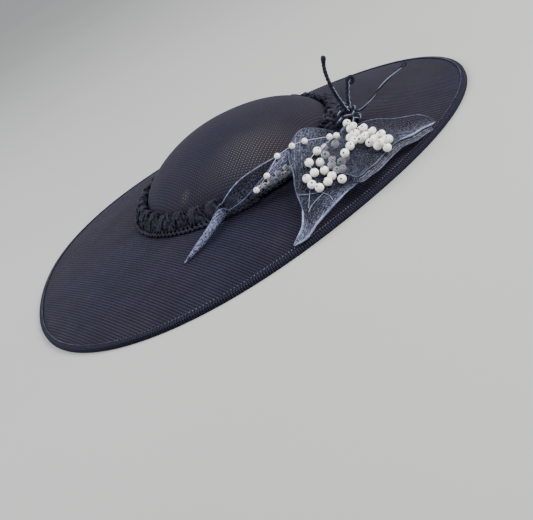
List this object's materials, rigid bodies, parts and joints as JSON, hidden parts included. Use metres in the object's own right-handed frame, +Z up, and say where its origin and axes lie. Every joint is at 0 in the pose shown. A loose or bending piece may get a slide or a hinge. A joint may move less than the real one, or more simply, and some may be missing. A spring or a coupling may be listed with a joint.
{
  "type": "saucer fascinator",
  "caption": "Oval saucer hat of navy mesh straw with a low dome crown, gathered braid, rolled and pointed petals of open mesh, corded stamens and pearls.",
  "frame": {"origin": "middle of the saucer on the plane of its folded edge, where the hat rests", "axes": "+X along the oval, +Z up out of the crown, the trimming on the -Y side"},
  "size_m": [0.443, 0.424, 0.086],
  "materials": {
    "navy_mesh_straw": "fine matt woven mesh",
    "dark_gimp": "matt corded braid",
    "navy_crin": "open mesh with a soft sheen",
    "ivory_pearl": "pearly gloss"
  },
  "bodies": {
    "root": {"brim": "navy_mesh_straw", "brim_hem": "navy_mesh_straw", "crown": "navy_mesh_straw", "crown_braid": "dark_gimp", "front_petal": "navy_crin", "left_petal": "navy_crin", "pearl_01": "ivory_pearl", "pearl_02": "ivory_pearl", "pearl_03": "ivory_pearl", "pearl_04": "ivory_pearl", "pearl_05": "ivory_pearl", "pearl_06": "ivory_pearl", "pearl_07": "ivory_pearl", "pearl_08": "ivory_pearl", "pearl_09": "ivory_pearl", "pearl_10": "ivory_pearl", "pearl_11": "ivory_pearl", "pearl_12": "ivory_pearl", "pearl_13": "ivory_pearl", "pearl_14": "ivory_pearl", "pearl_15": "ivory_pearl", "pearl_16": "ivory_pearl", "pearl_17": "ivory_pearl", "pearl_18": "ivory_pearl", "pearl_19": "ivory_pearl", "pearl_20": "ivory_pearl", "pearl_21": "ivory_pearl", "pearl_22": "ivory_pearl", "pearl_23": "ivory_pearl", "pearl_24": "ivory_pearl", "pearl_25": "ivory_pearl", "pearl_26": "ivory_pearl", "pearl_27": "ivory_pearl", "pearl_28": "ivory_pearl", "right_petal": "navy_crin", "rolled_beads": "ivory_pearl", "rosette": "dark_gimp", "seam_pearl_01": "ivory_pearl", "seam_pearl_02": "ivory_pearl", "seam_pearl_03": "ivory_pearl", "seam_pearl_04": "ivory_pearl", "seam_pearl_05": "ivory_pearl", "seam_pearl_06": "ivory_pearl", "seam_pearl_07": "ivory_pearl", "stamen_long": "dark_gimp", "stamen_short": "dark_gimp", "stamen_tall": "dark_gimp"}
  },
  "joints": []
}
